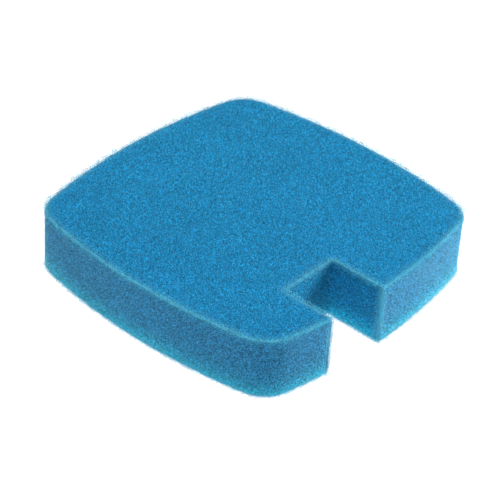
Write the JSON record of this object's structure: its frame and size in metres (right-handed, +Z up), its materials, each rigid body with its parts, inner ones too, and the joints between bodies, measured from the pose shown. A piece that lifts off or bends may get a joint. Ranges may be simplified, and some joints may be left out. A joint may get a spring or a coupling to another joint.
{
  "type": "sponge filter",
  "caption": "Flat open-cell foam filter pad, a square with bowed sides and rounded corners, notched through at one side for a riser or pipe.",
  "frame": {"origin": "middle of the underside, on the surface that the pad lies on", "axes": "+Z up through the thickness; -Y towards the side with the notch; the notch is off centre towards -X"},
  "size_m": [0.2, 0.2, 0.04],
  "materials": {
    "blue_foam": "matte, reticulated open-cell polyurethane foam, about 25 cells to the inch, dyed blue"
  },
  "bodies": {
    "root": {"foam_pad": "blue_foam"}
  },
  "joints": []
}
